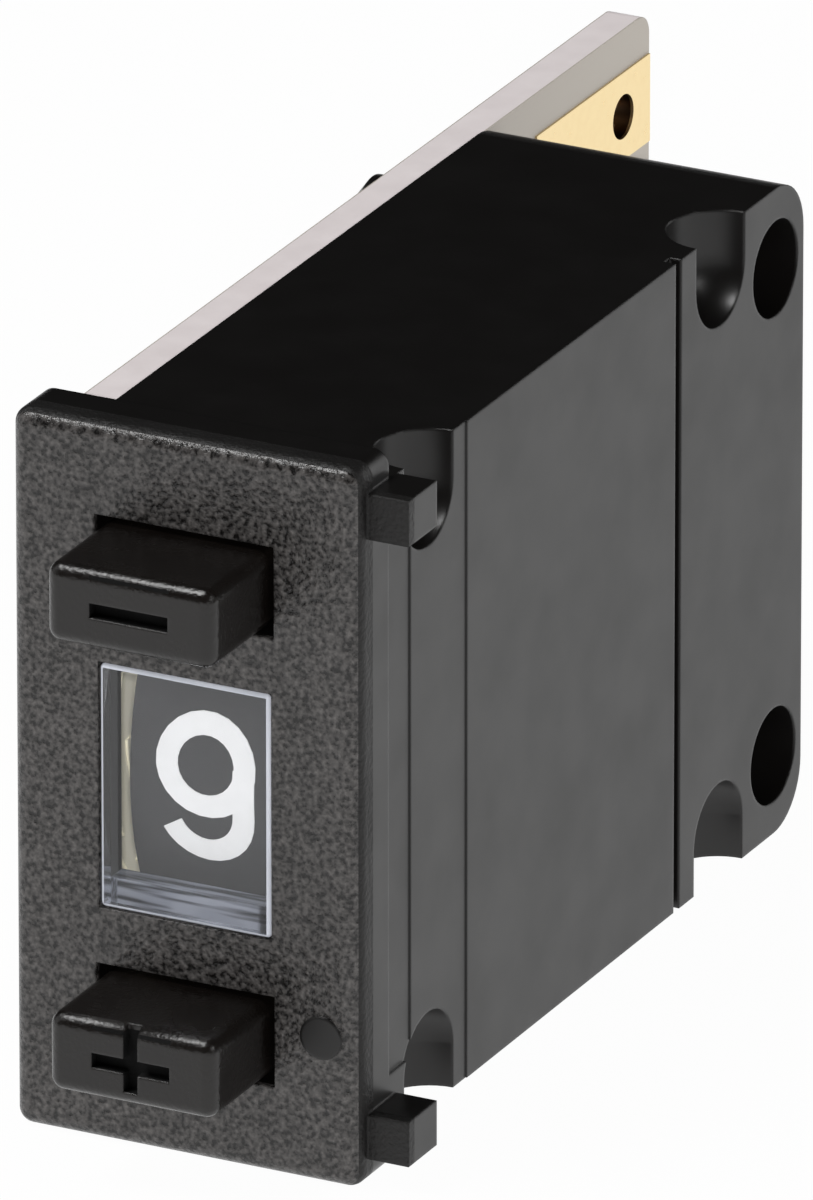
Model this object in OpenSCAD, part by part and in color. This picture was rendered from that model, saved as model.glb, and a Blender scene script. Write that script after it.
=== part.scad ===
// Push-button code switch module, millimetres.
// Frame: origin at the centre of the front plate's back face, front towards -Y, up +Z, right +X.

/* [Front plate] */
// Width of the front plate, which is also the stacking pitch
plate_width = 8; // [7.5:0.1:10]
// Height of the front plate
plate_height = 16; // [15.6:0.1:18]
// Thickness of the front plate
plate_thick = 1.4; // [1.2:0.05:2]
// Radius of the plate's corners and front edges
plate_round = 0.35; // [0.2:0.05:0.6]
// Width of the viewing window
window_width = 4; // [3.8:0.1:4.4]
// Height of the viewing window
window_height = 5.5; // [5:0.1:6]
// Radius of the lens's front edges
lens_round = 0.12; // [0.05:0.01:0.2]
// Height of the ledge behind the lens's lower edge
lens_ledge = 0.5; // [0.3:0.05:0.7]
// Diameter of the round mark beside the lower button
dot_diameter = 0.95; // [0.6:0.05:1.2]
// Height of the round mark above the plate
dot_height = 0.08; // [0.04:0.02:0.2]

/* [Housing] */
// How far the plate stands over the housing at the top and bottom
plate_lip = 0.65; // [0.4:0.05:0.8]
// Depth of the housing behind the plate
body_depth = 19.5; // [19:0.1:24]
// Thickness of the top, bottom and front walls of the cavity
wall = 0.7; // [0.5:0.05:0.8]
// Thickness of the right side wall
side_wall = 0.9; // [0.7:0.05:1]
// Radius of the two rear corners
rear_round = 1.3; // [1:0.1:1.8]
// Diameter of the tie rod holes
rod_hole = 2.16; // [2:0.02:2.4]
// Distance of the tie rod holes from the rear end
rod_from_rear = 1.35; // [1.3:0.05:1.8]
// Distance of the tie rod holes from the top and bottom
rod_from_top = 1.8; // [1.6:0.05:2.2]
// Radius of the half-round flutes in the right side
flute_radius = 1.16; // [0.9:0.02:1.2]
// Length of the flutes
flute_length = 2.15; // [1.8:0.05:2.3]
// Distance of the front flutes behind the plate
flute_front = 1.85; // [1.7:0.05:2]
// Distance of the rear flutes behind the plate
flute_rear = 15.5; // [15:0.1:15.8]
// Distance of the parting groove behind the plate
groove_at = 13.5; // [13.3:0.05:13.8]
// Width and depth of the parting groove
groove_size = 0.27; // [0.15:0.02:0.4]
// Length of the relieved front strip of the right side
strip_length = 3.6; // [3.2:0.1:4.5]
// Length of the deeper step at the strip's front end
strip_step = 1.05; // [0.8:0.05:1.4]
// Depth of the relieved front strip, and of its step below it
strip_depth = 0.03; // [0.02:0.01:0.05]

/* [Stacking lugs] */
// How far the lugs stand out of the right side
lug_reach = 0.95; // [0.7:0.05:0.95]
// Length of the lugs, front to back
lug_length = 1.3; // [1:0.05:1.4]
// Height of each lug
lug_height = 1; // [0.8:0.05:1.1]
// Distance of the lugs' middle from the plate's top and bottom
lug_from_top = 1.1; // [1:0.05:1.3]
// Play around a neighbour's lug in its pocket
lug_play = 0.08; // [0.04:0.01:0.15]

/* [Buttons] */
// Width of a button
button_width = 3.85; // [3.4:0.05:3.9]
// Height of a button
button_height = 1.75; // [1.5:0.05:1.8]
// How far a button stands out of the plate
button_proud = 2.5; // [2:0.1:3]
// Distance of the buttons from the housing's inner top and bottom
button_headroom = 0.775; // [0.7:0.005:0.9]
// Stroke of a button
button_travel = 1.6; // [1.4:0.05:1.7]
// Gap between a button and its slot
slot_play = 0.14; // [0.1:0.02:0.16]
// Radius of the button's front edges
button_round = 0.3; // [0.15:0.05:0.4]
// Width of the engraved marks' strokes
mark_stroke = 0.33; // [0.2:0.01:0.4]
// Length of the engraved marks
mark_length = 1.8; // [1.4:0.1:2.2]
// Depth of the engraved marks
mark_depth = 0.25; // [0.15:0.05:0.4]

/* [Number wheel] */
// Gap around the number wheel
wheel_play = 0.15; // [0.1:0.01:0.3]
// Width of the number wheel's rim
wheel_width = 3.5; // [3.3:0.05:3.5]
// Thickness of the number wheel's rim
rim_thick = 0.8; // [0.5:0.05:1.2]
// Radius of the steel axle
axle_radius = 0.75; // [0.6:0.01:0.8]
// Running clearance of the wheel on its axle
axle_play = 0.04; // [0.02:0.01:0.08]
// Height of a numeral
numeral_height = 3.35; // [3:0.05:3.5]
// Width of a numeral
numeral_width = 2.3; // [2:0.05:2.5]
// Stroke of a numeral
numeral_stroke = 0.5; // [0.35:0.01:0.6]
// Outer radius of the ratchet
ratchet_radius = 2.9; // [2.7:0.02:2.95]
// Depth of the ratchet's notches
ratchet_depth = 0.65; // [0.5:0.05:0.75]

/* [Circuit board] */
// Thickness of the circuit board
board_thick = 0.8; // [0.6:0.05:0.85]
// How far the board runs out behind the housing
board_tail = 6.9; // [6.5:0.1:8]
// Thickness of the plated conductors
foil = 0.05; // [0.03:0.01:0.07]
// Spacing of the terminals
terminal_pitch = 2.54; // [2.4:0.02:2.6]
// Diameter of the terminal holes
terminal_hole = 1; // [0.8:0.05:1.1]
// Distance of the terminal holes from the board's rear edge
terminal_from_edge = 1.35; // [1.2:0.05:1.5]
// Height of a terminal pad
pad_height = 2; // [1.8:0.05:2.1]

/* [Springs] */
// Mean radius of the return springs' coils
coil_radius = 0.36; // [0.3:0.01:0.38]
// Wire radius of the return springs
wire_radius = 0.07; // [0.05:0.01:0.08]
// Number of turns of the return springs
coil_turns = 9; // [6:1:11]
// Thickness of the leaf springs
leaf_thick = 0.12; // [0.08:0.01:0.15]

/* [Hidden] */
$fn = 48;
gap = 0.05;
over = 1;
positions = 10;
shown_digit = 9;
step = 360 / positions;
right = plate_width / 2;
left = -right;
plate_front = -plate_thick;
body_top = plate_height / 2 - plate_lip;
head_space = 0.2;
board_outer = left + head_space;
board_inner = board_outer + board_thick;
inner_right = right - side_wall;
inner_top = body_top - wall;
button_middle = inner_top - button_headroom - button_height / 2;
slot_width = button_width + 2 * slot_play;
slot_height = button_height + 2 * slot_play;
dot_from_right = 0.84;
dot_x = right - dot_from_right;
dot_rise = 0.33;
dot_z = dot_rise - button_middle;
wheel_x0 = -1.65;
wheel_x1 = wheel_x0 + wheel_width;
wheel_radius = inner_top - wheel_play;
wheel_nose = 0.3;
wheel_y = wheel_radius - wheel_nose;
cavity_end = wheel_y + wheel_radius + wheel_play;
rod_y = body_depth - rod_from_rear;
rod_height = body_top - rod_from_top;
flute_end = body_top - flute_length;
flute_ball = flute_end + flute_radius;
boss_wall = 0.5;
boss_x = right - flute_radius - boss_wall;
boss_y = flute_front + flute_radius + boss_wall;
boss_z = flute_end - boss_wall;
lug_middle = plate_height / 2 - lug_from_top;
lug_y1 = 0.3;
lug_y0 = lug_y1 - lug_length;
board_front = lug_y1 + lug_play;
board_end = body_depth + board_tail;
board_top = body_top - gap;
board_round = 0.5;
lens_gap = 0.25;
lens_back = -wheel_nose - lens_gap;
lens_lip = 0.25;
lens_lip_thick = 0.3;
lens_play = 0.03;
ledge_top = lens_ledge - window_height / 2;
ledge_back = wheel_y - sqrt(pow(wheel_radius, 2) - pow(ledge_top, 2)) - wheel_play;
stake_drop = 0.3;
stake_z = inner_top - stake_drop;
stake_radius = 0.35;
stake_head = 0.65;
stake_bar = 0.45;
rear_stake_drop = 1.11;
rear_stake_z = body_top - rear_stake_drop;
rear_stake_radius = 0.5;
rear_stake_head = 0.9;
head_rim = 0.35;
head_height = 0.65;
stake_play = 0.03;
ratchet_gap = 0.35;
ratchet_x1 = inner_right - ratchet_gap;
tooth_root = 0.3;
tooth_tip = 0.17;
arm_gap = 0.12;
arm_x0 = wheel_x1 + arm_gap;
bridge_thick = 0.75;
arm_side_gap = 0.25;
arm_x1 = inner_right - arm_side_gap;
arm_rise = 0.4;
arm_z0 = ratchet_radius + arm_rise;
arm_head_gap = 0.15;
arm_z1 = boss_z - arm_head_gap;
arm_end = 4.4;
post_y = 10.4;
post_thick = 0.8;
coil_x = (arm_x0 + arm_x1) / 2;
coil_z = (arm_z0 + arm_z1) / 2;
pawl_inset = 0.1;
pawl_x0 = arm_x0 + pawl_inset;
pawl_x1 = ratchet_x1 - gap;
pawl_lead = 0.6;
hub_radius = 1.6;
web_thick = 0.9;
washer_radius = 1.5;
print_thick = 0.02;
code_on = [[0, 1, 2, 3, 4, 5, 6, 7, 8, 9], [8, 9], [4, 5, 6, 7], [2, 3, 6, 7], [1, 3, 5, 7, 9]];
code_row = [0, -1, 1, -2, 2];
code_span = 0.35;
last_track = len(code_row) - 1;
track_width = 0.6;
track_link = 0.16;
track_first = 1.9;
track_margin = 0.15;
track_last = wheel_y - board_front - track_margin - track_width;
track_spacing = (track_last - track_first) / last_track;
via_radius = 0.2;
bond_play = 0.01;
trace_width = 0.25;
trace_margin = 0.37;
trace_limit = rod_height - rod_hole / 2 - trace_width / 2 - trace_margin;
row_shift = 0.27;
terminal_y = board_end - terminal_from_edge;
pad_gap = 1.4;
pad_front = body_depth + pad_gap;
pad_end = board_end - gap;
trace_lead = 0.9;
trace_turn = pad_front - trace_lead;
brush_thick = 0.1;
finger_width = 0.4;
contact_gap = 0.03;
brush_tip = board_inner + foil + contact_gap;
coil_sides = 6;
coil_steps = 14;
wedge_steps = 6;
arc_steps = 12;
loop_steps = 24;

// Box between two opposite corners
module block(a, b) {
  translate(a) cube(b - a);
}

// Round bar along X
module bar_x(x0, x1, y, z, r) {
  translate([x0, y, z]) rotate([0, 90, 0]) cylinder(h = x1 - x0, r = r);
}

// Round bar along Y
module bar_y(x, y0, y1, z, r) {
  translate([x, y0, z]) rotate([-90, 0, 0]) cylinder(h = y1 - y0, r = r);
}

// Outline in the side view, points given as depth and height, drawn out along X
module side_profile(x0, x1, points) {
  translate([x0, 0, 0]) rotate([90, 0, 90]) linear_extrude(height = x1 - x0) polygon(points);
}

// Copy of the children in the upper half and mirrored in the lower half
module both_halves() {
  children();
  mirror([0, 0, 1]) children();
}

// Box whose front edges and corners are rounded
module rounded_front(x0, x1, y0, y1, z0, z1, r) {
  block([x0 + r, y0, z0 + r], [x1 - r, y1, z1 - r]);
  block([x0, y0 + r, z0 + r], [x1, y1, z1 - r]);
  block([x0 + r, y0 + r, z0], [x1 - r, y1, z1]);
  for (z = [z0 + r, z1 - r]) {
    bar_x(x0 + r, x1 - r, y0 + r, z, r);
    for (x = [x0 + r, x1 - r]) {
      bar_y(x, y0 + r, y1, z, r);
      translate([x, y0 + r, z]) sphere(r = r);
    }
  }
  for (x = [x0 + r, x1 - r])
    translate([x, y0 + r, z0 + r]) cylinder(h = z1 - z0 - 2 * r, r = r);
}

// Rounded slab in the side view
module slab(x0, x1, y0, y1, z0, z1, r) {
  block([x0, y0, z0], [x1, y1 - r, z1]);
  block([x0, y0, z0 + r], [x1, y1, z1 - r]);
  for (z = [z0 + r, z1 - r])
    bar_x(x0, x1, y1 - r, z, r);
}

// Half-round flute with a ball end, open at the top
module flute(y) {
  translate([right, y, flute_ball]) {
    cylinder(h = body_top, r = flute_radius);
    sphere(r = flute_radius);
  }
}

// Solid of the housing before the mechanism's space is taken out
module housing_shell() {
  rounded_front(left, right, plate_front, 0, -plate_height / 2, plate_height / 2, plate_round);
  slab(board_inner, right, -gap, body_depth, -body_top, body_top, rear_round);
  both_halves()
    block([right, lug_y0, lug_middle - lug_height / 2],
      [right + lug_reach, lug_y1, lug_middle + lug_height / 2]);
  bar_y(dot_x, plate_front - dot_height, 0, dot_z, dot_diameter / 2);
}

// Space for the wheel and the sliders, open to the board
module mechanism_space() {
  difference() {
    block([board_inner - over, 0, -inner_top], [inner_right, cavity_end, inner_top]);
    both_halves() {
      block([boss_x, -gap, boss_z], [right, boss_y, body_top]);
      block([board_inner - gap, flute_front - stake_bar, stake_z - stake_radius],
        [right, flute_front + stake_bar, body_top]);
      block([arm_x0, post_y, arm_z0], [right, post_y + post_thick, arm_z1]);
    }
    block([pawl_x0, post_y, -post_thick], [right, cavity_end + gap, -leaf_thick]);
    block([pawl_x0, post_y, leaf_thick], [right, cavity_end + gap, post_thick]);
  }
}

// Openings in the front plate
module plate_openings() {
  block([-window_width / 2, plate_front - over, -window_height / 2],
    [window_width / 2, over, window_height / 2]);
  block([-window_width / 2, lens_back - lens_lip_thick - lens_play, -window_height / 2 - lens_lip],
    [window_width / 2, over, window_height / 2 + lens_lip]);
  both_halves() {
    block([-slot_width / 2, plate_front - over, button_middle - slot_height / 2],
      [slot_width / 2, over, button_middle + slot_height / 2]);
    block([left - over, lug_y0 - lug_play, lug_middle - lug_height / 2 - lug_play],
      [left + lug_reach + lug_play, 0, lug_middle + lug_height / 2 + lug_play]);
  }
}

// Moulded pin with an upset head that holds the board
module stake(y, z, r, head) {
  bar_x(board_outer - gap, board_inner + gap, y, z, r);
  bar_x(board_outer - head_rim, board_outer, y, z, head);
  translate([board_outer - head_rim, y, z]) rotate([0, -90, 0])
    cylinder(h = head_height - head_rim, r1 = head, r2 = r);
}

module housing() {
  color("#26231f") {
    difference() {
      housing_shell();
      mechanism_space();
      plate_openings();
      both_halves() {
        flute(flute_front);
        flute(flute_rear);
        bar_x(board_inner - over, right + over, rod_y, rod_height, rod_hole / 2);
      }
      block([right - groove_size, groove_at - groove_size / 2, -plate_height],
        [right + over, groove_at + groove_size / 2, plate_height]);
      block([right - strip_depth, strip_step, -plate_height], [right + over, strip_length, plate_height]);
      block([right - 2 * strip_depth, 0, lug_height - lug_middle],
        [right + over, strip_step, lug_middle - lug_height]);
      bar_x(inner_right - gap, inner_right + side_wall / 2, wheel_y, 0, axle_radius);
    }
    both_halves() {
      stake(flute_front, stake_z, stake_radius, stake_head);
      stake(flute_rear, rear_stake_z, rear_stake_radius, rear_stake_head);
    }
  }
}

module window_lens() {
  x = window_width / 2 - lens_play;
  z = window_height / 2 - lens_play;
  color("#cfe0ee") {
    rounded_front(-x, x, plate_front, lens_back, -z, z, lens_round);
    block([-x, lens_back - lens_lip_thick, -z - lens_lip], [x, lens_back, z + lens_lip]);
    block([-x, lens_back - lens_lip_thick, -z - lens_lip], [x, ledge_back, ledge_top]);
  }
}

// Slider of the upper button with its side arm, without a mark
module slider() {
  difference() {
    union() {
      rounded_front(-button_width / 2, button_width / 2, plate_front - button_proud, arm_end / 2,
        button_middle - button_height / 2, button_middle + button_height / 2, button_round);
      block([button_width / 2 - over, gap, arm_z0],
        [boss_x - gap, gap + bridge_thick, button_middle + button_height / 2 - gap]);
    }
    bar_x(left, wheel_x1 + arm_gap / 2, wheel_y - button_travel, 0, wheel_radius + wheel_play);
  }
  block([arm_x0, gap, arm_z0], [arm_x1, arm_end, arm_z1]);
}

// Sunk bar of a mark on a button's face
module mark_bar(x_size, z0, z1) {
  block([-x_size / 2, plate_front - button_proud - over, z0],
    [x_size / 2, plate_front - button_proud + mark_depth, z1]);
}

module minus_button() {
  color("#3a332f") difference() {
    slider();
    mark_bar(mark_length, button_middle - mark_stroke / 2, button_middle + mark_stroke / 2);
  }
}

module plus_button() {
  color("#3a332f") difference() {
    mirror([0, 0, 1]) slider();
    mark_bar(mark_length, -button_middle - mark_stroke / 2, -button_middle + mark_stroke / 2);
    mark_bar(mark_stroke, button_round - button_middle - button_height / 2, button_height - button_middle);
  }
}

// Spring pawl of the upper slider, just clear of the ratchet's tips
module pawl() {
  tip_y = wheel_y - pawl_lead;
  tip_z = ratchet_radius + gap;
  side_profile(pawl_x0, pawl_x1, [
    [arm_end - over, arm_z0], [arm_end - over, arm_z0 - leaf_thick],
    [tip_y - over, arm_z0 - leaf_thick], [tip_y - leaf_thick, tip_z],
    [tip_y, tip_z], [tip_y - over + leaf_thick, arm_z0]]);
}

module minus_pawl() {
  color("#b9bcc0") pawl();
}

module plus_pawl() {
  color("#b9bcc0") mirror([0, 0, 1]) pawl();
}

function coil_ring(i, n, y0, y1) = [for (k = [0 : coil_sides - 1])
  let (turn = 360 * coil_turns * i / n, side = 360 * k / coil_sides,
    r = coil_radius + wire_radius * cos(side))
  [coil_x + r * cos(turn), y0 + (y1 - y0) * i / n + wire_radius * sin(side), coil_z + r * sin(turn)]];

// Coil spring of the upper slider between its arm and the housing's post
module return_spring() {
  n = coil_turns * coil_steps;
  end_room = wire_radius + gap;
  rings = [for (i = [0 : n]) each coil_ring(i, n, arm_end + end_room, post_y - end_room)];
  sides = [for (i = [0 : n - 1], k = [0 : coil_sides - 1])
    let (a = i * coil_sides + k, b = i * coil_sides + (k + 1) % coil_sides)
    each [[a, b, b + coil_sides], [a, b + coil_sides, a + coil_sides]]];
  start_cap = [[for (k = [coil_sides - 1 : -1 : 0]) k]];
  end_cap = [[for (k = [0 : coil_sides - 1]) n * coil_sides + k]];
  polyhedron(points = rings, faces = concat(sides, start_cap, end_cap));
}

module minus_return_spring() {
  color("#c8cacd") return_spring();
}

module plus_return_spring() {
  color("#c8cacd") mirror([0, 0, 1]) return_spring();
}

// Outline of the ratchet, depth and height
function ratchet_points() = [for (i = [0 : positions - 1],
    p = [[-tooth_root, 0], [-tooth_tip, 1], [tooth_tip, 1], [tooth_root, 0]])
  let (a = (i + p[0] + 0.5) * step, r = ratchet_radius - ratchet_depth * (1 - p[1]))
  [wheel_y + r * cos(a), r * sin(a)]];

module number_wheel() {
  color("#2b2b2d") difference() {
    union() {
      difference() {
        bar_x(wheel_x0, wheel_x1, wheel_y, 0, wheel_radius);
        bar_x(wheel_x0 + web_thick, wheel_x1 + over, wheel_y, 0, wheel_radius - rim_thick);
      }
      bar_x(wheel_x0, wheel_x1 + gap, wheel_y, 0, hub_radius);
      side_profile(wheel_x1, ratchet_x1, ratchet_points());
      bar_x(wheel_x0 + web_thick - gap, wheel_x1 + gap, wheel_y, 0, ratchet_radius - ratchet_depth);
    }
    bar_x(left, right, wheel_y, 0, axle_radius + axle_play);
  }
}

// Corner points of a wedge between two angles, reaching out to a radius
function wedge(from, to, reach) = concat([[0, 0]], [for (i = [0 : wedge_steps])
  let (a = from + (to - from) * i / wedge_steps)
  reach * [cos(a), sin(a)]]);

// Outline in the front view drawn out along Y, from the wheel's middle to past its front
module front_profile(points) {
  rotate([90, 0, 0]) linear_extrude(height = wheel_radius + over) polygon(points);
}

// Points of an arc about a height on the numeral's middle line
function arc(z, r, from, to) = [for (i = [0 : arc_steps])
  let (a = from + (to - from) * i / arc_steps)
  [r * cos(a), z + r * sin(a)]];

// Points of a closed round loop
function loop(z, r) = [for (i = [0 : loop_steps - 1])
  let (a = (i + 0.5) * 360 / loop_steps)
  [r * cos(a), z + r * sin(a)]];

// Line beside a path at a distance, for a path that is open or closed
function beside(p, side, closed) = let (n = len(p)) [for (i = [0 : n - 1])
  let (a = closed ? p[(i + n - 1) % n] : p[max(0, i - 1)],
    b = closed ? p[(i + 1) % n] : p[min(n - 1, i + 1)],
    d = (b - a) / norm(b - a))
  p[i] + side * [-d[1], d[0]]];

// Open stroke of a numeral along a path
module pen(p) {
  back = beside(p, -numeral_stroke / 2, false);
  front = beside(p, numeral_stroke / 2, false);
  front_profile(concat(front, [for (i = [len(p) - 1 : -1 : 0]) back[i]]));
}

// Closed stroke of a numeral along a path
module closed_pen(p) {
  difference() {
    front_profile(beside(p, -numeral_stroke / 2, true));
    translate([0, over, 0]) front_profile(beside(p, numeral_stroke / 2, true));
    translate([0, -over, 0]) front_profile(beside(p, numeral_stroke / 2, true));
  }
}

// Solid strokes of one numeral, facing forwards
module numeral(digit) {
  t = numeral_stroke / 2;
  w = numeral_width / 2 - t;
  h = numeral_height / 2 - t;
  c = h - w;
  inset = t / 9;
  if (digit == 0) closed_pen(concat(arc(c, w, 0, 180), arc(-c, w, 180, 360)));
  if (digit == 1) {
    pen([[t, -h - t], [t, h + t]]);
    pen([[t / 2, h - t / 2], [-w, h - w]]);
  }
  if (digit == 2) {
    pen(concat(arc(c, w, 170, -30), [[-w + t, -h + t / 2]]));
    pen([[-w - t, -h], [w + t, -h]]);
  }
  if (digit == 3) {
    pen(arc(h / 2, h / 2, 150, -90));
    pen(arc(-h / 2, h / 2, 90, -150));
  }
  if (digit == 4) {
    pen([[w / 2, -h - t], [w / 2, h + t]]);
    pen([[-w - t, -c], [w + t, -c]]);
    pen([[-w + t, -c], [w / 2, h]]);
  }
  if (digit == 5) {
    pen(arc(w - h, w, 140, -150));
    pen([[-w + t, 0], [-w + t, h]]);
    pen([[-w, h], [w, h]]);
  }
  if (digit == 6) rotate([0, 180, 0]) numeral(9);
  if (digit == 7) {
    pen([[-w - t, h], [w + t, h]]);
    pen([[w, h], [-w / 3, -h - t]]);
  }
  if (digit == 8) {
    closed_pen(loop(h / 2, h / 2));
    closed_pen(loop(-h / 2 - inset, h / 2));
  }
  if (digit == 9) {
    closed_pen(loop(c, w));
    pen(concat([[w - inset, c]], arc(-c, w - inset, 0, -155)));
  }
}

module wheel_numerals() {
  middle = (wheel_x0 + wheel_x1) / 2;
  color("#f2f2ee") translate([middle, wheel_y, 0])
    for (digit = [0 : positions - 1])
      rotate([(digit - shown_digit) * step, 0, 0]) intersection() {
        numeral(digit);
        difference() {
          bar_x(-numeral_width, numeral_width, 0, 0, wheel_radius + print_thick);
          bar_x(-numeral_width - over, numeral_width + over, 0, 0, wheel_radius);
        }
      }
}

module wheel_axle() {
  axle_end = inner_right + side_wall / 2 - gap;
  color("#d0d2d4") bar_x(board_outer, axle_end, wheel_y, 0, axle_radius - axle_play / 4);
}

module thrust_washer() {
  color("#d8c9a0") difference() {
    bar_x(ratchet_x1 + gap, inner_right - gap, wheel_y, 0, washer_radius);
    bar_x(left, right, wheel_y, 0, axle_radius + axle_play);
  }
}

// Radius of the inner edge of a code track
function track_inner(i) = track_first + i * track_spacing;

// Stamped contact with one finger for each code track, carried on the wheel's left face
module contact_brush() {
  z0 = track_inner(0) - finger_width;
  z1 = track_inner(last_track) + track_width + finger_width / 2;
  reach = wheel_x0 - brush_thick - brush_tip;
  color("#e3bd6a") translate([0, wheel_y, 0]) {
    block([wheel_x0 - brush_thick, -finger_width, z0], [wheel_x0, finger_width, z1]);
    for (i = [0 : last_track])
      translate([0, 0, track_inner(i) + track_link + (track_width - track_link - finger_width) / 2])
        linear_extrude(height = finger_width) polygon([
          [wheel_x0, 0], [wheel_x0 - brush_thick, 0],
          [brush_tip, reach], [brush_tip, reach + brush_thick * 2],
          [brush_tip + brush_thick, reach + brush_thick * 2], [wheel_x0, finger_width]]);
  }
}

// Leaf that clicks into the ratchet's rear notch
module detent_spring() {
  tips = wheel_y + ratchet_radius;
  nose = tips - ratchet_depth + 2 * gap;
  t = leaf_thick / 2;
  color("#b9bcc0") side_profile(pawl_x0, pawl_x1, [
    [nose, -t], [tips, -4 * t], [tips + t, -t], [cavity_end - gap, -t],
    [cavity_end - gap, t], [tips + t, t], [tips, 4 * t], [nose, t]]);
}

// Height of a terminal, counted from the middle of the row
function terminal_z(i) = row_shift + code_row[i] * terminal_pitch;

module circuit_board() {
  color("#d3cbcb") difference() {
    slab(board_outer, board_inner, board_front, board_end, -board_top, board_top, board_round);
    bar_x(left, right, wheel_y, 0, axle_radius + stake_play);
    both_halves() {
      bar_x(left - over, right, flute_front, stake_z, stake_radius + stake_play);
      bar_x(left - over, right, flute_rear, rear_stake_z, rear_stake_radius + stake_play);
      bar_x(left - over, right, rod_y, rod_height, rod_hole / 2);
    }
    for (i = [0 : last_track]) {
      bar_x(left - over, right, terminal_y, terminal_z(i), terminal_hole / 2 + foil + bond_play);
      bar_x(left - over, right, via_y(i), via_z(i), via_radius + bond_play);
    }
  }
}

// Height and depth at which a track passes through the board
function via_z(i) = code_row[i] * min(terminal_pitch, trace_limit / 2);
function via_y(i) = wheel_y + sqrt(pow(track_inner(i) + track_link, 2) - pow(via_z(i), 2));

// One conductor: code track, feed-through, line on the outer side and plated terminal
module track(i) {
  r = track_inner(i);
  zt = terminal_z(i);
  half = trace_width / 2;
  color("#e9c37a") difference() {
    union() {
      translate([board_inner, wheel_y, 0]) intersection() {
        difference() {
          bar_x(0, foil, 0, 0, r + track_width);
          bar_x(-over, over, 0, 0, r);
        }
        union() {
          bar_x(0, foil, 0, 0, r + track_link);
          for (d = code_on[i])
            side_profile(0, foil,
              wedge(90 - (d + code_span) * step, 90 - (d - code_span) * step, 2 * wheel_radius));
        }
      }
      bar_x(board_outer - foil, board_inner + foil, via_y(i), via_z(i), via_radius);
      bar_x(board_outer - foil, board_outer, via_y(i), via_z(i), 2 * via_radius);
      block([board_outer - foil, via_y(i), via_z(i) - half],
        [board_outer, trace_turn + trace_width, via_z(i) + half]);
      block([board_outer - foil, trace_turn, min(via_z(i), zt) - half],
        [board_outer, trace_turn + trace_width, max(via_z(i), zt) + half]);
      block([board_outer - foil, trace_turn, zt - half], [board_outer, terminal_y, zt + half]);
      for (x = [board_outer - foil, board_inner])
        block([x, pad_front, zt - pad_height / 2], [x + foil, pad_end, zt + pad_height / 2]);
      bar_x(board_outer, board_inner, terminal_y, zt, terminal_hole / 2 + foil);
    }
    bar_x(left - over, right, terminal_y, zt, terminal_hole / 2);
  }
}

module common_track() {
  track(0);
}

module eight_track() {
  track(1);
}

module four_track() {
  track(2);
}

module two_track() {
  track(3);
}

module one_track() {
  track(4);
}

housing();
window_lens();
minus_button();
plus_button();
minus_pawl();
plus_pawl();
minus_return_spring();
plus_return_spring();
number_wheel();
wheel_numerals();
wheel_axle();
thrust_washer();
contact_brush();
detent_spring();
circuit_board();
common_track();
eight_track();
four_track();
two_track();
one_track();
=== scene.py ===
"""Dresses the push-button code switch module: finishes, soft edges, springs, floor, light and camera."""
import logging
import math
from dataclasses import dataclass, field
from enum import Enum
from functools import reduce
from typing import Any, Dict, List, Sequence, Tuple, Union

import bmesh
import bpy
from mathutils import Matrix, Vector


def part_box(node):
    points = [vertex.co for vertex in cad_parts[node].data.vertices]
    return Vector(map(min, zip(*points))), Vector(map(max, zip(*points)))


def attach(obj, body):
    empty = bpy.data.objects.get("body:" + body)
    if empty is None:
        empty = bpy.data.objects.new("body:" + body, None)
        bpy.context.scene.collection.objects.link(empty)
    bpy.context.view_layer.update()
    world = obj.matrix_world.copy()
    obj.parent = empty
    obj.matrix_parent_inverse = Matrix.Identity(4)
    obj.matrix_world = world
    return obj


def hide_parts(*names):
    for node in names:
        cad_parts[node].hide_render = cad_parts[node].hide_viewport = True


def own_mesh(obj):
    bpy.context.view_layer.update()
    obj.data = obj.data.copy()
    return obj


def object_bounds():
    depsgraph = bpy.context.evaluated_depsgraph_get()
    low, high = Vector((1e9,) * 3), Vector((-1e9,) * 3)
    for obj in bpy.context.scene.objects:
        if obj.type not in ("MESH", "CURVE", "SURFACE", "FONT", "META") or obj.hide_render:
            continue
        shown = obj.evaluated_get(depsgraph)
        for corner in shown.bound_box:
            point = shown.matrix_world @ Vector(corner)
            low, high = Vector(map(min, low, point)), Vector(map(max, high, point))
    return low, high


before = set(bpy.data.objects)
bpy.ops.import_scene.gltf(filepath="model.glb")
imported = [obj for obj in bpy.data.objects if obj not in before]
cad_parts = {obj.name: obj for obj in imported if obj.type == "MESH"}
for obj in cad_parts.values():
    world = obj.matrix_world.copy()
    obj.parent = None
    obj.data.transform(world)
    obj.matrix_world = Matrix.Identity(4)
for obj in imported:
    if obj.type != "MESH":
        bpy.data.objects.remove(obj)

CAD_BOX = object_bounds()
LOG = logging.getLogger("code_switch")
MM = 0.001
BLACK = (0.0, 0.0, 0.0)
NOWHERE = (0.0, 0.0)

# Most of a noise pattern's values lie between these two.
PATTERN_LOW = 0.3
PATTERN_HIGH = 0.7

# Directions in which the shading looks for a nearby edge.
EDGE_SAMPLES = 6

Band = Tuple[float, float]
Colour = Tuple[float, float, float]
Point = Tuple[float, float, float]
Socket = bpy.types.NodeSocket
Number = Union[Socket, float]
Paint = Union[Socket, Colour]


class Texture(Enum):
    """How a moulded surface is textured: size and depth of its pattern in metres."""

    POLISHED = (0.12 * MM, 0.003 * MM)
    SATIN = (0.1 * MM, 0.045 * MM)


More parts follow.
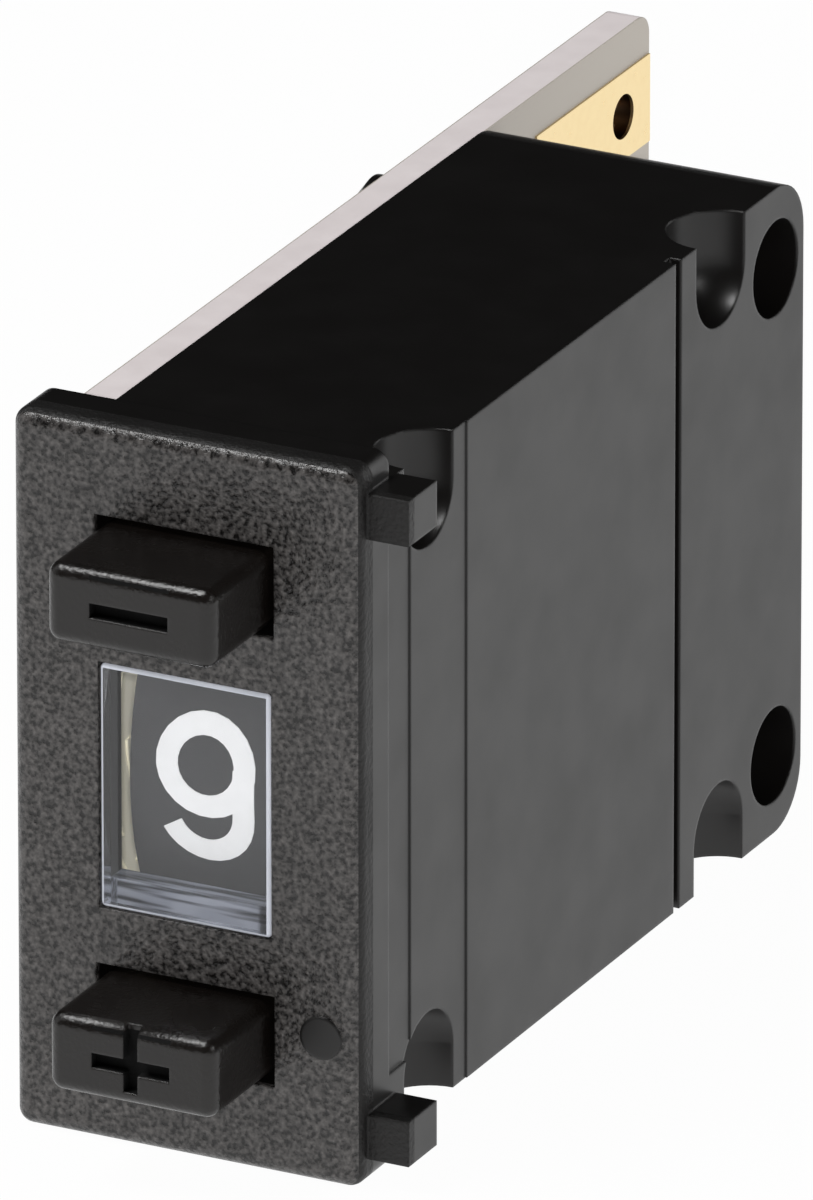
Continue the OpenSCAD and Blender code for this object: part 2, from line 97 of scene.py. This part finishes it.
class Graph:
    """Node graph of one material."""

    def __init__(self, name: str) -> None:
        """Starts a material with a Principled shader and an output.

        Args:
            name: the material's name.
        """
        self.material = bpy.data.materials.new(name)
        self.material.use_nodes = True
        self.tree = self.material.node_tree
        self.shader = self.tree.nodes["Principled BSDF"]
        self.output = self.tree.nodes["Material Output"]
        self.place = self.node("TexCoord").outputs["Object"]

    def node(self, kind: str, **settings: Any) -> bpy.types.Node:
        """Adds a node.

        Args:
            kind: the node's type, without the leading ShaderNode.
            settings: properties of the node, such as operation.

        Returns:
            The new node.
        """
        made = self.tree.nodes.new("ShaderNode" + kind)
        for key, value in settings.items():
            setattr(made, key, value)
        return made

    def feed(self, target: Socket, value: Union[Socket, float, Sequence[float]]) -> None:
        """Links an output to an input socket, or writes a plain value on it.

        Args:
            target: the input socket.
            value: an output socket, a number or a row of numbers.
        """
        if isinstance(value, bpy.types.NodeSocket):
            self.tree.links.new(value, target)
        else:
            target.default_value = value

    def source(self, name: str) -> Socket:
        """Returns the output that is linked to one of the shader's inputs."""
        return self.shader.inputs[name].links[0].from_socket

    def math(self, operation: str, a: Number, b: Number) -> Socket:
        """Adds a Math node.

        Args:
            operation: the node's operation.
            a: first input.
            b: second input.

        Returns:
            The result's socket.
        """
        made = self.node("Math", operation=operation)
        self.feed(made.inputs[0], a)
        self.feed(made.inputs[1], b)
        return made.outputs[0]

    def noise(self, size: float, detail: float = 2.0, stretch: Point = (1.0, 1.0, 1.0)) -> Socket:
        """Adds a noise pattern on Object coordinates.

        Args:
            size: size of the pattern's features in metres.
            detail: octaves of detail.
            stretch: how much longer the features are along each axis.

        Returns:
            The pattern's value.
        """
        spread = self.node("VectorMath", operation="MULTIPLY")
        self.feed(spread.inputs[0], self.place)
        spread.inputs[1].default_value = tuple(1.0 / (size * longer) for longer in stretch)
        made = self.node("TexNoise")
        self.feed(made.inputs["Vector"], spread.outputs[0])
        made.inputs["Scale"].default_value = 1.0
        made.inputs["Detail"].default_value = detail
        return made.outputs["Fac"]

    def ramp(self, value: Socket, low: Colour, high: Colour,
             stops: Band = (PATTERN_LOW, PATTERN_HIGH)) -> Socket:
        """Maps a value to a colour between two stops.

        Args:
            value: the socket to map.
            low: colour of the first stop.
            high: colour of the second stop.
            stops: values at the two stops.

        Returns:
            The colour's socket.
        """
        made = self.node("ValToRGB")
        self.feed(made.inputs[0], value)
        for stop, position, colour in zip(made.color_ramp.elements, stops, (low, high)):
            stop.position = position
            stop.color = (*colour, 1.0)
        return made.outputs["Color"]

    def about(self, value: Socket, middle: float, spread: float) -> Socket:
        """Maps a pattern to values on both sides of a middle one.

        Args:
            value: the pattern.
            middle: the middle value.
            spread: how far the result goes to either side.

        Returns:
            The result's socket.
        """
        made = self.node("MapRange")
        self.feed(made.inputs["Value"], value)
        made.inputs["From Min"].default_value = PATTERN_LOW
        made.inputs["From Max"].default_value = PATTERN_HIGH
        made.inputs["To Min"].default_value = middle - spread
        made.inputs["To Max"].default_value = middle + spread
        return made.outputs["Result"]

    def mix(self, share: Socket, plain: Paint, other: Paint) -> Socket:
        """Mixes two colours.

        Args:
            share: how much of the other colour shows.
            plain: first colour.
            other: second colour.

        Returns:
            The colour's socket.
        """
        made = self.node("Mix", data_type="RGBA")
        self.feed(made.inputs["Factor"], share)
        for name, paint in (("A", plain), ("B", other)):
            self.feed(made.inputs[name], (*paint, 1.0) if isinstance(paint, tuple) else paint)
        return made.outputs["Result"]

    def between(self, axis: str, low: float, high: float) -> Socket:
        """Masks a band of the piece.

        Args:
            axis: X, Y or Z.
            low: start of the band in metres.
            high: end of the band in metres.

        Returns:
            A socket that is one inside the band and nought outside.
        """
        split = self.node("SeparateXYZ")
        self.feed(split.inputs[0], self.place)
        after = self.math("GREATER_THAN", split.outputs[axis], low)
        before = self.math("LESS_THAN", split.outputs[axis], high)
        return self.math("MULTIPLY", after, before)

    def inside(self, **bands: Band) -> Socket:
        """Masks a block of the piece.

        Args:
            bands: start and end of the block in metres, along each axis that bounds it.

        Returns:
            A socket that is one inside the block and nought outside.
        """
        masks = [self.between(axis, *band) for axis, band in bands.items()]
        return reduce(lambda a, b: self.math("MULTIPLY", a, b), masks)

    def bump(self, height: Socket, depth: float, strength: float, edge: float = 0.0) -> None:
        """Lays a relief on the surface.

        Args:
            height: the relief's height pattern.
            depth: the relief's depth in metres.
            strength: how strongly it shows.
            edge: radius in metres by which sharp edges look rounded, or nought.
        """
        made = self.node("Bump")
        if edge > 0.0:
            rounded = self.node("Bevel", samples=EDGE_SAMPLES)
            rounded.inputs["Radius"].default_value = edge
            self.feed(made.inputs["Normal"], rounded.outputs[0])
        made.inputs["Strength"].default_value = strength
        made.inputs["Distance"].default_value = depth
        self.feed(made.inputs["Height"], height)
        self.feed(self.shader.inputs["Normal"], made.outputs["Normal"])

    def blend(self, share: Number, other: bpy.types.Node) -> None:
        """Mixes the Principled shader with another one at the output.

        Args:
            share: how much of the other shader shows.
            other: the other shader's node.
        """
        made = self.node("MixShader")
        self.feed(made.inputs[0], share)
        self.feed(made.inputs[1], self.shader.outputs[0])
        self.feed(made.inputs[2], other.outputs[0])
        self.feed(self.output.inputs["Surface"], made.outputs[0])


@dataclass(frozen=True)
class Moulding:
    """Smooth moulded plastic."""

    name: str
    slot: str
    colour: Colour
    shade: Colour
    roughness: float
    texture: Texture
    edge: float = 0.0
    mottle_size: float = 1.2 * MM
    spread: float = 0.04
    relief: float = 0.3

    def build(self) -> bpy.types.Material:
        """Returns the finish as a material."""
        return self.graph().material

    def graph(self) -> Graph:
        """Builds the moulding's graph.

        Returns:
            The graph, for a finish that adds to it.
        """
        g = Graph(self.name)
        shader = g.shader.inputs
        mottle = g.noise(self.mottle_size, detail=3.0)
        g.feed(shader["Base Color"], g.ramp(mottle, self.colour, self.shade))
        g.feed(shader["Roughness"], g.about(mottle, self.roughness, self.spread))
        size, depth = self.texture.value
        g.bump(g.noise(size), depth, self.relief, self.edge)
        return g


@dataclass(frozen=True)
class EngravedMoulding(Moulding):
    """Smooth moulded plastic with an engraved sign that is dead matt and painted black as shade in its
    recess.
    """

    sign_x: Band = NOWHERE
    sign_y: Band = NOWHERE
    sign_z: Band = NOWHERE
    matt: float = 0.7

    def build(self) -> bpy.types.Material:
        """Builds the finish.

        Returns:
            The finish as a material.
        """
        g = self.graph()
        shader = g.shader.inputs
        sign = g.inside(X=self.sign_x, Y=self.sign_y, Z=self.sign_z)
        # The engraving is painted black: painted shade in the recess.
        g.feed(shader["Base Color"], g.mix(sign, g.source("Base Color"), BLACK))
        dead = g.math("MULTIPLY", sign, self.matt)
        g.feed(shader["Roughness"], g.math("ADD", g.source("Roughness"), dead))
        return g.material


@dataclass(frozen=True)
class ErodedMoulding:
    """Smooth moulded plastic with a spark-eroded front that runs out along its sides; the front's bright
    specks are painted glints.
    """

    name: str
    slot: str
    colour: Colour
    # Colour of the glints painted on the front's grain.
    painted_glint: Colour
    roughness: float
    front: Band
    skirt: Band
    edge: float
    grain_size: float = 0.11 * MM
    grain_depth: float = 0.04 * MM
    grain_stops: Band = (0.36, 0.8)
    relief: float = 0.8
    mottle_size: float = 1.5 * MM
    spread: float = 0.04
    front_change: float = -0.12
    skirt_change: float = 0.2

    def build(self) -> bpy.types.Material:
        """Builds the finish.

        Returns:
            The finish as a material.
        """
        g = Graph(self.name)
        shader = g.shader.inputs
        front = g.between("Y", *self.front)
        skirt = g.between("Y", *self.skirt)
        pits = g.noise(self.grain_size, detail=3.0)
        # The grain's pits are painted up to a bright colour: painted glints that stand in for highlights.
        painted_glint_specks = g.ramp(pits, self.colour, self.painted_glint, self.grain_stops)
        g.feed(shader["Base Color"], g.mix(front, self.colour, painted_glint_specks))
        mottle = g.noise(self.mottle_size, detail=3.0)
        smooth = g.about(mottle, self.roughness, self.spread)
        on_front = g.math("MULTIPLY", front, self.front_change)
        on_skirt = g.math("MULTIPLY", skirt, self.skirt_change)
        g.feed(shader["Roughness"], g.math("ADD", smooth, g.math("ADD", on_front, on_skirt)))
        eroded = g.math("ADD", front, skirt)
        g.bump(g.math("MULTIPLY", pits, eroded), self.grain_depth, self.relief, self.edge)
        return g.material


@dataclass(frozen=True)
class Metal:
    """Bright metal with a fine lay."""

    name: str
    slot: str
    colour: Colour
    shade: Colour
    roughness: float
    lay_size: float = 0.25 * MM
    lay_depth: float = 0.002 * MM
    relief: float = 0.25
    spread: float = 0.05

    def build(self) -> bpy.types.Material:
        """Returns the finish as a material."""
        return self.graph().material

    def graph(self) -> Graph:
        """Builds the metal's graph.

        Returns:
            The graph, for a finish that adds to it.
        """
        g = Graph(self.name)
        shader = g.shader.inputs
        lay = g.noise(self.lay_size, detail=3.0)
        shader["Metallic"].default_value = 1.0
        g.feed(shader["Base Color"], g.ramp(lay, self.shade, self.colour))
        g.feed(shader["Roughness"], g.about(lay, self.roughness, self.spread))
        g.bump(lay, self.lay_depth, self.relief)
        return g


@dataclass(frozen=True)
class Plating(Metal):
    """Plated metal, with shade painted dark on the walls of its holes; matt where the brush wipes it, and
    painted a lighter cream there as light on the strip seen through the window.
    """

    hole: Band = NOWHERE
    # Painted shade on the walls of the board's holes.
    painted_hole_shade: Colour = (0.1, 0.06, 0.035)
    wiped_y: Band = NOWHERE
    # Matt where the brush wipes, painted a lighter cream as light on the strip.
    matt: Colour = (0.9, 0.84, 0.64)

    def build(self) -> bpy.types.Material:
        """Builds the finish.

        Returns:
            The finish as a material.
        """
        g = self.graph()
        shader = g.shader.inputs
        wiped = g.inside(X=(self.hole[1], self.hole[1] + MM), Y=self.wiped_y)
        # Where the brush wipes, the plating turns matt and is painted a lighter cream: wear, and painted
        # light.
        wear_and_painted_light = g.mix(wiped, g.source("Base Color"), self.matt)
        # The hole walls are painted dark as shade.
        g.feed(shader["Base Color"], g.mix(g.between("X", *self.hole), wear_and_painted_light, self.painted_hole_shade))
        g.feed(shader["Metallic"], g.math("SUBTRACT", 1.0, wiped))
        return g.material


@dataclass(frozen=True)
class Laminate:
    """Circuit board laminate with pale sawn edges and tan faces, painted a lighter cream under the wheel
    as light on the strip seen through the window.
    """

    name: str
    slot: str
    colour: Colour
    shade: Colour
    face: Colour
    # Lighter cream under the wheel: painted light.
    cream_painted_light: Colour
    core_x: Band
    covered_y: Band
    edge: float
    roughness: float = 0.45
    saw_size: float = 0.8 * MM
    weave_size: float = 0.1 * MM
    weave_depth: float = 0.003 * MM
    relief: float = 0.3

    def build(self) -> bpy.types.Material:
        """Builds the finish.

        Returns:
            The finish as a material.
        """
        g = Graph(self.name)
        shader = g.shader.inputs
        sawn = g.ramp(g.noise(self.saw_size, detail=4.0), self.shade, self.colour)
        under_wheel = g.inside(X=(self.core_x[1], self.core_x[1] + MM), Y=self.covered_y)
        # Under the wheel the face is painted a lighter cream, as light on the strip.
        faced = g.mix(under_wheel, self.face, self.cream_painted_light)
        g.feed(shader["Base Color"], g.mix(g.between("X", *self.core_x), faced, sawn))
        shader["Roughness"].default_value = self.roughness
        g.bump(g.noise(self.weave_size), self.weave_depth, self.relief, self.edge)
        return g.material


@dataclass(frozen=True)
class Ink:
    """Opaque printed ink."""

    name: str
    slot: str
    colour: Colour
    shade: Colour
    roughness: float = 0.5
    blotch_size: float = 0.4 * MM

    def build(self) -> bpy.types.Material:
        """Builds the finish.

        Returns:
            The finish as a material.
        """
        g = Graph(self.name)
        shader = g.shader.inputs
        g.feed(shader["Base Color"], g.ramp(g.noise(self.blotch_size), self.shade, self.colour))
        shader["Roughness"].default_value = self.roughness
        return g.material


@dataclass(frozen=True)
class ClearPlastic:
    """Clear polished plastic with a highlight painted on its rim, and a frosted ledge behind its lower
    edge with streaky reflections painted on it.
    """

    name: str
    slot: str
    colour: Colour
    # Colour of the highlight painted on the rim.
    painted_rim_highlight: Colour
    # Pale and dark colours of the reflections painted in streaks on the ledge.
    pale: Colour
    dark: Colour
    low: Point
    high: Point
    back: float
    lip: float = 0.25 * MM
    rim: float = 0.09 * MM
    ledge_height: float = 0.73 * MM
    skin: float = 0.01 * MM
    streak_size: float = 0.16 * MM
    streak_stretch: Point = (14.0, 1.0, 1.0)
    streak_stops: Band = (0.4, 0.6)
    polish: float = 0.02
    frost: float = 0.35
    cloud: float = 0.8
    refraction: float = 1.49

    def build(self) -> bpy.types.Material:
        """Builds the finish, which lets light through to the pieces behind it.

        Returns:
            The finish as a material.
        """
        g = Graph(self.name)
        shader = g.shader.inputs
        ledge, rim = self._ledge(g), self._rim(g)
        grain = g.noise(self.streak_size, stretch=self.streak_stretch)
        # The ledge's streaks are painted reflections and the rim's colour is a painted highlight.
        painted_ledge_reflections = g.ramp(grain, self.dark, self.pale, self.streak_stops)
        g.feed(shader["Base Color"], g.mix(ledge, g.mix(rim, self.colour, self.painted_rim_highlight), painted_ledge_reflections))
        frosted = g.math("MAXIMUM", ledge, rim)
        g.feed(shader["Roughness"], g.math("ADD", self.polish, g.math("MULTIPLY", frosted, self.frost)))
        clouded = g.math("MULTIPLY", frosted, self.cloud)
        g.feed(shader["Transmission Weight"], g.math("SUBTRACT", 1.0, clouded))
        shader["IOR"].default_value = self.refraction
        path = g.node("LightPath").outputs
        passing = g.math("MAXIMUM", path["Is Shadow Ray"], path["Is Diffuse Ray"])
        g.blend(passing, g.node("BsdfTransparent"))
        return g.material

    def _ledge(self, g: Graph) -> Socket:
        """Returns a mask of the ledge behind the lower edge."""
        depth = (self.back + self.skin, self.high[1] + MM)
        return g.inside(Y=depth, Z=(self.low[2] - MM, self.low[2] + self.ledge_height))

    def _rim(self, g: Graph) -> Socket:
        """Masks the rounded edge all round the front.

        Args:
            g: the material's graph.

        Returns:
            A socket that is one on the rim and nought elsewhere.
        """
        inset = self.lip + self.rim
        across = (self.low[0] + self.rim, self.high[0] - self.rim)
        middle = g.inside(X=across, Z=(self.low[2] + inset, self.high[2] - inset))
        front = g.between("Y", self.low[1] - MM, self.low[1] + self.rim)
        return g.math("MULTIPLY", front, g.math("SUBTRACT", 1.0, middle))


Finish = Union[Moulding, ErodedMoulding, Metal, Laminate, Ink, ClearPlastic]
STEEL = Metal("Spring steel", "spring_steel", (0.62, 0.63, 0.65), (0.52, 0.53, 0.55), roughness=0.3)


@dataclass
class Dresser:
    """Puts finishes on the CAD nodes and on new pieces."""

    merge: float = 0.0005 * MM
    rounds: int = 2
    sharp: float = math.radians(50.0)
    made: Dict[str, bpy.types.Material] = field(default_factory=dict)

    def paint(self, piece: bpy.types.Object, finish: Finish) -> None:
        """Gives a piece its finish and logs the finish's name.

        Args:
            piece: the mesh object.
            finish: the finish.
        """
        if finish.name not in self.made:
            self.made[finish.name] = finish.build()
        piece.data.materials.clear()
        piece.data.materials.append(self.made[finish.name])
        LOG.info("%s: %s", piece.name, finish.name)

    def dress(self, node: str, finish: Finish, soften: float = 0.0) -> None:
        """Dresses a CAD node and, where asked, softens its sharp edges.

        Args:
            node: the CAD node's name.
            finish: the finish.
            soften: greatest width of the softened edges in metres, or nought for none.
        """
        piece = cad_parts[node]
        self.paint(piece, finish)
        if soften > 0.0:
            weld = piece.modifiers.new("Weld", "WELD")
            weld.merge_threshold = self.merge
            bevel = piece.modifiers.new("Soft edges", "BEVEL")
            bevel.width = soften
            bevel.segments = self.rounds
            bevel.limit_method = "ANGLE"
            bevel.angle_limit = self.sharp


@dataclass
class Enclosure:
    """Housing with its front plate, and the clear lens in the plate's window."""

    dresser: Dresser
    edge: float = 0.1 * MM
    dot_height: float = 0.08 * MM
    grain_reach: float = 0.22 * MM
    skirt_reach: float = 0.75 * MM
    lens_back: float = -0.55 * MM

    def build(self) -> None:
        """Dresses the housing and the lens."""
        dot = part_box("housing")[0][1]
        run_out = dot + self.grain_reach
        # The bright specks on the housing's front are painted glints.
        self.dresser.dress("housing", ErodedMoulding(
            "Black moulding", "black_moulding", (0.003, 0.0026, 0.0024), painted_glint=(0.09, 0.084, 0.081),
            roughness=0.36, front=(dot + self.dot_height / 2, run_out),
            skirt=(run_out, dot + self.skirt_reach), edge=self.edge))
        low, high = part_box("window_lens")
        # The rim colour is a painted highlight; the pale and dark colours are painted reflections on the
        # ledge.
        self.dresser.dress("window_lens", ClearPlastic(
            "Clear lens", "clear_lens", (0.95, 0.97, 1.0), painted_rim_highlight=(0.55, 0.57, 0.63),
            pale=(0.3, 0.32, 0.38), dark=(0.03, 0.033, 0.04), low=tuple(low), high=tuple(high),
            back=self.lens_back))


@dataclass
class Key:
    """One slider with its engraved button, its pawl and its return spring."""

    dresser: Dresser
    sign: str
    edge: float = 0.09 * MM
    middle: float = 5.0 * MM
    height: float = 1.75 * MM
    engraved_length: float = 1.8 * MM
    engraved_depth: float = 0.25 * MM
    engraved_foot: float = 0.28 * MM
    engraved_head: float = 0.12 * MM
    spill: float = 0.02 * MM
    wire_radius: float = 0.07 * MM
    turns: int = 9
    steps_per_turn: int = 24
    wire_sides: int = 10

    def build(self) -> None:
        """Dresses the slider and its pawl and makes the spring."""
        self.dresser.dress(f"{self.sign}_button", self._finish(), self.edge)
        self.dresser.dress(f"{self.sign}_pawl", STEEL)
        self._spring()

    def _finish(self) -> EngravedMoulding:
        """Works out the block that the engraved sign lies in.

        Returns:
            The button's finish.
        """
        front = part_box(f"{self.sign}_button")[0][1]
        middle = self.middle if self.sign == "minus" else -self.middle
        across = self.engraved_length / 2 + self.spill
        lowest = middle - self.height / 2 + self.engraved_foot
        highest = middle + self.height / 2 - self.engraved_head
        # The engraved sign is painted black as shade in its recess.
        return EngravedMoulding(
            f"Satin {self.sign} key moulding", "button_moulding", (0.0035, 0.0026, 0.0022),
            shade=(0.005, 0.004, 0.0034), roughness=0.27, texture=Texture.SATIN, edge=self.edge,
            sign_x=(-across, across), sign_z=(lowest, highest),
            sign_y=(front + self.spill, front + self.engraved_depth + self.spill))

    def _spring(self) -> None:
        """Winds the return spring, hides the CAD's spring and hangs the coil on the housing."""
        node = f"{self.sign}_return_spring"
        low, high = (Vector(corner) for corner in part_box(node))
        mesh = bpy.data.meshes.new(f"{self.sign}_wound_spring")
        shape = self._coil(low, high)
        shape.to_mesh(mesh)
        shape.free()
        mesh.shade_smooth()
        spring = bpy.data.objects.new(mesh.name, mesh)
        bpy.context.scene.collection.objects.link(spring)
        self.dresser.paint(spring, STEEL)
        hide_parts(node)
        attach(spring, "housing")
        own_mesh(spring)

    def _coil(self, low: Vector, high: Vector) -> bmesh.types.BMesh:
        """Spins a round wire into a coil that fills a box.

        Args:
            low: least corner of the box.
            high: greatest corner of the box.

        Returns:
            The coil, closed at both ends.
        """
        middle = (low + high) / 2
        coil_radius = (high.x - low.x) / 2 - self.wire_radius
        steps = self.turns * self.steps_per_turn
        rise = (high.y - low.y - 2 * self.wire_radius) / steps
        shape = bmesh.new()
        bmesh.ops.create_circle(shape, segments=self.wire_sides, radius=self.wire_radius)
        start = Vector((middle.x + coil_radius, low.y + self.wire_radius, middle.z))
        bmesh.ops.translate(shape, verts=shape.verts, vec=start)
        bmesh.ops.spin(
            shape, geom=[*shape.verts, *shape.edges], cent=(middle.x, 0.0, middle.z), axis=(0.0, 1.0, 0.0),
            dvec=(0.0, rise, 0.0), angle=-math.tau * self.turns, steps=steps, use_merge=False)
        bmesh.ops.holes_fill(shape, edges=shape.edges, sides=0)
        bmesh.ops.recalc_face_normals(shape, faces=shape.faces)
        return shape


@dataclass
class NumberWheel:
    """Wheel with its print, axle, washer, brush and detent leaf."""

    dresser: Dresser

    def build(self, gold: Finish) -> None:
        """Dresses the wheel and what turns with it or holds it.

        Args:
            gold: finish of the brush.
        """
        matt = Moulding(
            "Matt wheel moulding", "wheel_moulding", (0.008, 0.0075, 0.008), shade=(0.011, 0.0105, 0.011),
            roughness=0.5, texture=Texture.POLISHED)
        natural = Moulding(
            "Natural washer", "washer_plastic", (0.6, 0.52, 0.36), shade=(0.66, 0.58, 0.42),
            roughness=0.4, texture=Texture.POLISHED)
        turned = Metal("Turned steel", "axle_steel", (0.66, 0.67, 0.68), (0.58, 0.59, 0.6), roughness=0.22)
        white = Ink("White print", "white_print", (0.82, 0.81, 0.8), (0.78, 0.77, 0.76))
        self.dresser.dress("number_wheel", matt)
        self.dresser.dress("wheel_numerals", white)
        self.dresser.dress("wheel_axle", turned)
        self.dresser.dress("thrust_washer", natural)
        self.dresser.dress("contact_brush", gold)
        self.dresser.dress("detent_spring", STEEL)


@dataclass
class CodeBoard:
    """Circuit board with its plated conductors."""

    dresser: Dresser
    tracks: Sequence[str] = ("common", "eight", "four", "two", "one")
    wiped_length: float = 14.0 * MM
    edge: float = 0.03 * MM
    skin: float = 0.02 * MM

    def plating(self) -> Plating:
        """Works out where the conductors' holes and the brush's path lie.

        Returns:
            The conductors' finish, with shade painted dark in the board's holes, and matt under the wheel
            with light painted there in a lighter cream.
        """
        low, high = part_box("circuit_board")
        return Plating(
            "Gold plating", "gold_plating", (0.97, 0.78, 0.44), (0.93, 0.73, 0.39), roughness=0.32,
            hole=(low[0] + self.skin, high[0] - self.skin), wiped_y=(low[1], low[1] + self.wiped_length))

    def build(self, gold: Finish) -> None:
        """Dresses the board.

        Args:
            gold: finish of the conductors.
        """
        low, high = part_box("circuit_board")
        # The cream under the wheel is painted light on the strip seen through the window.
        pale = Laminate(
            "Pale laminate", "board_laminate", (0.78, 0.72, 0.72), shade=(0.72, 0.66, 0.66),
            face=(0.46, 0.42, 0.37), cream_painted_light=(0.9, 0.84, 0.66),
            core_x=(low[0] + self.edge, high[0] - self.edge),
            covered_y=(low[1] + self.edge, low[1] + self.wiped_length), edge=self.edge)
        self.dresser.dress("circuit_board", pale, self.edge)
        for track in self.tracks:
            self.dresser.dress(f"{track}_track", gold)


@dataclass
class PhotoCamera:
    """Camera at the photograph's viewing angle."""

    azimuth: float = math.radians(27.09)
    elevation: float = math.radians(22.8)
    roll: float = math.radians(-0.21)
    distance: float = 551.9 * MM
    pixels_per_metre: float = 48.634 / MM
    image: Tuple[float, float] = (813.0, 1200.0)
    face_pixel: Tuple[float, float] = (184.55, 801.4)
    face_centre: Point = (0.0, -1.4 * MM, 0.0)
    sensor: float = 36.0
    clip: Band = (0.01, 20.0)

    def build(self) -> None:
        """Places the camera and makes it the scene's own."""
        ca, sa = math.cos(self.azimuth), math.sin(self.azimuth)
        ce, se = math.cos(self.elevation), math.sin(self.elevation)
        level_right = Vector((ca, sa, 0.0))
        ahead = Vector((-sa * ce, ca * ce, -se))
        level_up = level_right.cross(ahead)
        right = math.cos(self.roll) * level_right + math.sin(self.roll) * level_up
        up = right.cross(ahead)
        focal = self.pixels_per_metre * self.distance
        spot = Vector(self.face_centre) - self.distance * ahead
        across = (self.image[0] / 2 - self.face_pixel[0]) / focal
        above = (self.face_pixel[1] - self.image[1] / 2) / focal
        aim = (ahead + across * right + above * up).normalized()
        right = (right - right.dot(aim) * aim).normalized()
        data = bpy.data.cameras.new("Photo camera")
        data.sensor_fit = "VERTICAL"
        data.sensor_height = self.sensor
        data.lens = focal * self.sensor / self.image[1]
        data.clip_start, data.clip_end = self.clip
        camera = bpy.data.objects.new("Photo camera", data)
        turn = Matrix((right, right.cross(aim), -aim)).transposed()
        camera.matrix_world = Matrix.Translation(spot) @ turn.to_4x4()
        bpy.context.scene.collection.objects.link(camera)
        bpy.context.scene.camera = camera


@dataclass(frozen=True)
class Softbox:
    """Square lamp that faces the part."""

    name: str
    place: Point
    size: float
    watts: float
    mirrored: bool = True

    def build(self) -> None:
        """Hangs the lamp, seen in reflections or not."""
        data = bpy.data.lights.new(self.name, "AREA")
        data.shape = "SQUARE"
        data.size = self.size
        data.energy = self.watts
        lamp = bpy.data.objects.new(self.name, data)
        lamp.location = self.place
        lamp.rotation_euler = (-Vector(self.place)).to_track_quat("-Z", "Y").to_euler()
        lamp.visible_glossy = self.mirrored
        bpy.context.scene.collection.objects.link(lamp)


@dataclass
class Studio:
    """White floor, softboxes and a dim surround."""

    floor_size: float = 6.0
    floor_gap: float = 0.02 * MM
    floor_colour: Colour = (0.75, 0.75, 0.75)
    floor_roughness: float = 0.9
    floor_glow: float = 0.97
    surround: float = 0.02
    lamps: Sequence[Softbox] = (
        Softbox("Key softbox", (-0.2, -0.15, 0.53), size=0.2, watts=1.9),
        Softbox("Front softbox", (0.42, -0.82, 0.388), size=0.06, watts=8.4, mirrored=False),
        Softbox("Side softbox", (0.43, -0.04, 0.26), size=0.1, watts=0.3),
        Softbox("Fill softbox", (-0.45, -0.2, 0.2), size=0.35, watts=0.3),
        Softbox("Rear softbox", (0.3, 0.55, 0.12), size=0.3, watts=0.5),
    )

    def build(self) -> None:
        """Lays the floor, hangs the lamps and sets the surround."""
        self._floor()
        for lamp in self.lamps:
            lamp.build()
        world = bpy.data.worlds.new("Surround")
        world.use_nodes = True
        background = world.node_tree.nodes["Background"].inputs
        background["Color"].default_value = (1.0, 1.0, 1.0, 1.0)
        background["Strength"].default_value = self.surround
        bpy.context.scene.world = world

    def _floor(self) -> None:
        """Makes a white floor that glows like a light table and keeps a faint shadow."""
        mesh = bpy.data.meshes.new("Floor")
        shape = bmesh.new()
        bmesh.ops.create_grid(shape, x_segments=1, y_segments=1, size=self.floor_size)
        bmesh.ops.translate(shape, verts=shape.verts, vec=(0.0, 0.0, CAD_BOX[0][2] - self.floor_gap))
        shape.to_mesh(mesh)
        shape.free()
        floor = bpy.data.objects.new("Floor", mesh)
        bpy.context.scene.collection.objects.link(floor)
        g = Graph("White floor")
        shader = g.shader.inputs
        shader["Base Color"].default_value = (*self.floor_colour, 1.0)
        shader["Roughness"].default_value = self.floor_roughness
        shader["Specular IOR Level"].default_value = 0.0
        g.blend(self.floor_glow, g.node("Emission"))
        mesh.materials.append(g.material)


def main() -> None:
    """Builds the scene: camera first, then each sub-assembly, then the studio."""
    logging.basicConfig(level=logging.INFO, format="%(name)s: %(message)s")
    bpy.context.scene.view_settings.view_transform = "Standard"
    PhotoCamera().build()
    dresser = Dresser()
    board = CodeBoard(dresser)
    gold = board.plating()
    Enclosure(dresser).build()
    for sign in ("minus", "plus"):
        Key(dresser, sign).build()
    NumberWheel(dresser).build(gold)
    board.build(gold)
    Studio().build()


if __name__ == "__main__":
    main()
